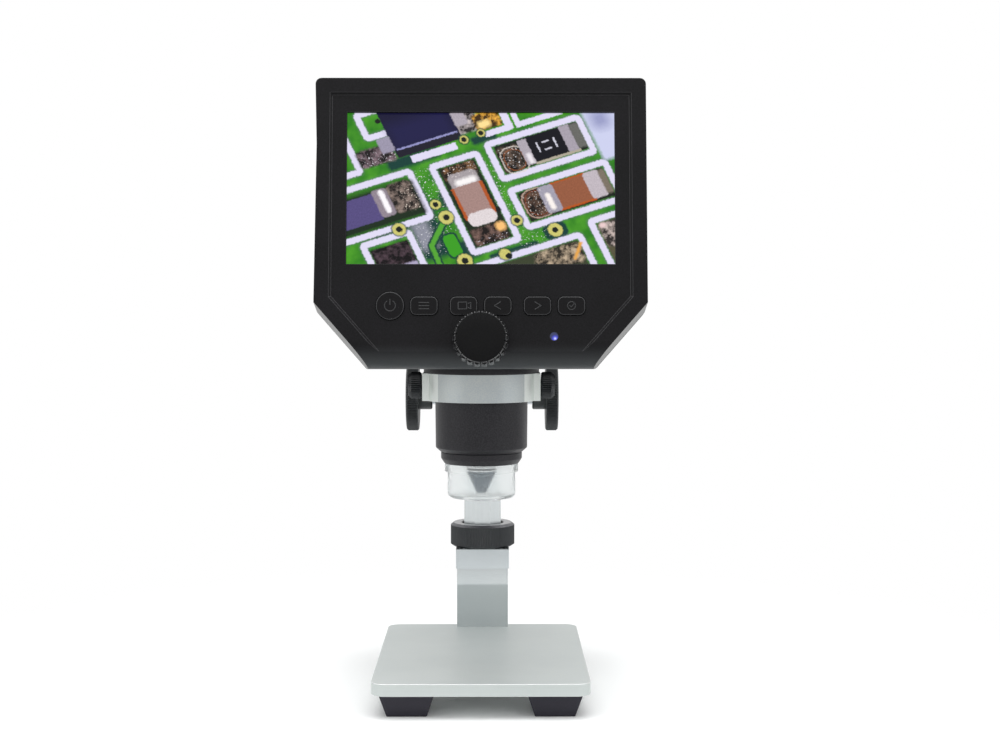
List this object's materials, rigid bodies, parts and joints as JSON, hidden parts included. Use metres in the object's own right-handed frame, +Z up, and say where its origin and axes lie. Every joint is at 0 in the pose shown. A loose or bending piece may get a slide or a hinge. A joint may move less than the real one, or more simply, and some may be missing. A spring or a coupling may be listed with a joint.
{
  "type": "digital microscope",
  "caption": "Desk microscope with a leaning display head, focusing lens barrel and diffuser cap, held in a clamp ring on a rack-and-pinion pole stand with a flat base plate.",
  "frame": {"origin": "middle of the object's bounding box in plan, on the surface the feet stand on", "axes": "+Z up the pole, the display faces -Y, +X to the right seen from the front"},
  "size_m": [0.1172, 0.1216, 0.225],
  "materials": {
    "plate_aluminium": "fine satin anodised, bright edges",
    "column_aluminium": "smooth anodised",
    "block_aluminium": "smooth anodised",
    "pole_aluminium": "drawn, anodised",
    "ring_aluminium": "bead-blasted and anodised",
    "foot_rubber": "moulded",
    "black_knurl": "black anodised, knurled",
    "carriage_black": "black anodised",
    "screw_steel": "blackened",
    "shaft_steel": "ground",
    "rack_steel": "milled",
    "gear_brass": "machined",
    "collet_nylon": "natural nylon",
    "plug_plastic": "moulded",
    "barrel_black": "black anodised, satin",
    "cap_frosted": "frosted, translucent",
    "lens_metal": "dark anodised",
    "lens_glass": "coated",
    "case_black": "fine textured",
    "button_black": "satin",
    "focus_black": "moulded",
    "display_glass": "display surface",
    "display_frame": "folded steel frame",
    "circuit_green": "solder mask",
    "led_white": "white solder mask",
    "led_phosphor": "phosphor",
    "bracket_metal": "milled",
    "cell_sleeve": "shrink sleeve",
    "contact_nickel": "nickel plated",
    "card_black": "moulded",
    "pilot_blue": "clear blue",
    "pot_blue": "moulded"
  },
  "bodies": {
    "base": {"base_plate": "plate_aluminium", "base_feet": "foot_rubber", "base_screws": "screw_steel", "column": "column_aluminium", "column_head": "block_aluminium", "column_screws": "screw_steel"},
    "collet": {"collet_ring": "collet_nylon"},
    "collar": {"lock_collar": "black_knurl"},
    "pole": {"pole": "pole_aluminium", "pole_plug": "plug_plastic", "stand_rack": "rack_steel", "rack_screws": "screw_steel"},
    "carriage": {"carriage": "carriage_black", "shaft_bushes": "gear_brass", "drag_screw": "screw_steel", "clamp_ring": "ring_aluminium", "arm_screws": "screw_steel"},
    "stand_shaft": {"pinion_shaft": "shaft_steel", "stand_pinion": "gear_brass", "stand_knob_left": "black_knurl", "stand_knob_right": "black_knurl"},
    "pad_left": {"clamp_pad_left": "gear_brass"},
    "pad_right": {"clamp_pad_right": "gear_brass"},
    "screw_left": {"clamp_screw_left": "black_knurl"},
    "screw_right": {"clamp_screw_right": "black_knurl"},
    "head": {"barrel": "barrel_black", "end_ring": "barrel_black", "diffuser_cap": "cap_frosted", "led_board": "led_white", "leds": "led_phosphor", "focus_bracket": "bracket_metal", "sensor_board": "circuit_green", "front_case": "case_black", "rear_case": "case_black", "battery_cell": "cell_sleeve", "battery_contacts": "contact_nickel", "lcd_panel": "display_frame", "lcd_glass": "display_glass", "main_board": "circuit_green", "usb_socket": "contact_nickel", "button_board": "circuit_green", "status_led": "pilot_blue", "dimmer_pot": "pot_blue", "case_screws": "screw_steel"},
    "lens": {"lens_carrier": "lens_metal", "focus_rack": "gear_brass", "objective": "lens_metal", "objective_lens": "lens_glass"},
    "focus": {"focus_knob": "focus_black", "focus_shaft": "shaft_steel", "focus_pinion": "gear_brass"},
    "dimmer": {"dimmer_wheel": "focus_black"},
    "door": {"battery_door": "case_black"},
    "card": {"memory_card": "card_black"},
    "key_power": {"button_power": "button_black"},
    "key_menu": {"button_menu": "button_black"},
    "key_mode": {"button_mode": "button_black"},
    "key_back": {"button_back": "button_black"},
    "key_next": {"button_next": "button_black"},
    "key_ok": {"button_ok": "button_black"}
  },
  "joints": [
    {"name": "collet_rise", "type": "slide", "parent": "base", "child": "collet", "axis": [0, 0, 1], "range_m": [0, 0.00076]},
    {"name": "collar_turn", "type": "hinge", "parent": "collet", "child": "collar", "pos_m": [0, 0.04767, 0.0502], "axis": [0, 0, 1], "range_deg": [0, 270]},
    {"name": "pole_lift", "type": "slide", "parent": "base", "child": "pole", "axis": [0, 0, 1], "range_m": [0, 0.025]},
    {"name": "carriage_lift", "type": "slide", "parent": "pole", "child": "carriage", "axis": [0, 0, 1], "range_m": [-0.03, 0.045]},
    {"name": "stand_knob_turn", "type": "hinge", "parent": "carriage", "child": "stand_shaft", "pos_m": [0, 0.03387, 0.1072], "axis": [1, 0, 0], "range_deg": [-614.5, 410]},
    {"name": "pad_left_slide", "type": "slide", "parent": "carriage", "child": "pad_left", "axis": [-1, 0, 0], "range_m": [0, 0.00105]},
    {"name": "screw_left_turn", "type": "hinge", "parent": "pad_left", "child": "screw_left", "pos_m": [-0.024, -0.01533, 0.1145], "axis": [-1, 0, 0], "range_deg": [0, 541]},
    {"name": "pad_right_slide", "type": "slide", "parent": "carriage", "child": "pad_right", "axis": [1, 0, 0], "range_m": [0, 0.00105]},
    {"name": "screw_right_turn", "type": "hinge", "parent": "pad_right", "child": "screw_right", "pos_m": [0.024, -0.01533, 0.1145], "axis": [1, 0, 0], "range_deg": [0, 541]},
    {"name": "head_turn", "type": "hinge", "parent": "carriage", "child": "head", "pos_m": [0, -0.01533, 0.1192], "axis": [0, 0, 1], "range_deg": [-25, 25]},
    {"name": "focus_turn", "type": "hinge", "parent": "head", "child": "focus", "pos_m": [0, -0.0518, 0.1324], "axis": [0, -0.9903, 0.1392], "range_deg": [-28.6, 189.5]},
    {"name": "lens_slide", "type": "slide", "parent": "head", "child": "lens", "axis": [0, 0, 1], "range_m": [-0.0015, 0.01]},
    {"name": "dimmer_turn", "type": "hinge", "parent": "head", "child": "dimmer", "pos_m": [0.0323, -0.00933, 0.1332], "axis": [0, 0, 1], "range_deg": [-135, 135]},
    {"name": "battery_door_hinge", "type": "hinge", "parent": "head", "child": "door", "pos_m": [0, 0.00807, 0.1631], "axis": [1, 0, 0], "range_deg": [0, 88]},
    {"name": "card_slide", "type": "slide", "parent": "head", "child": "card", "axis": [-1, 0, 0], "range_m": [0, 0.012]},
    {"name": "power_press", "type": "slide", "parent": "head", "child": "key_power", "axis": [0, 0.9903, -0.1392], "range_m": [0, 0.0004], "stiffness_N_per_m": 700},
    {"name": "menu_press", "type": "slide", "parent": "head", "child": "key_menu", "axis": [0, 0.9903, -0.1392], "range_m": [0, 0.0004], "stiffness_N_per_m": 700},
    {"name": "mode_press", "type": "slide", "parent": "head", "child": "key_mode", "axis": [0, 0.9903, -0.1392], "range_m": [0, 0.0004], "stiffness_N_per_m": 700},
    {"name": "back_press", "type": "slide", "parent": "head", "child": "key_back", "axis": [0, 0.9903, -0.1392], "range_m": [0, 0.0004], "stiffness_N_per_m": 700},
    {"name": "next_press", "type": "slide", "parent": "head", "child": "key_next", "axis": [0, 0.9903, -0.1392], "range_m": [0, 0.0004], "stiffness_N_per_m": 700},
    {"name": "ok_press", "type": "slide", "parent": "head", "child": "key_ok", "axis": [0, 0.9903, -0.1392], "range_m": [0, 0.0004], "stiffness_N_per_m": 700}
  ],
  "couplings": [
    {"joint": "collet_rise", "follows": "collar_turn", "m_per_rad": 0.00015915},
    {"joint": "stand_knob_turn", "follows": "carriage_lift", "rad_per_m": -238.1},
    {"joint": "screw_left_turn", "follows": "pad_left_slide", "rad_per_m": 8976},
    {"joint": "screw_right_turn", "follows": "pad_right_slide", "rad_per_m": 8976},
    {"joint": "focus_turn", "follows": "lens_slide", "rad_per_m": 330.09}
  ]
}
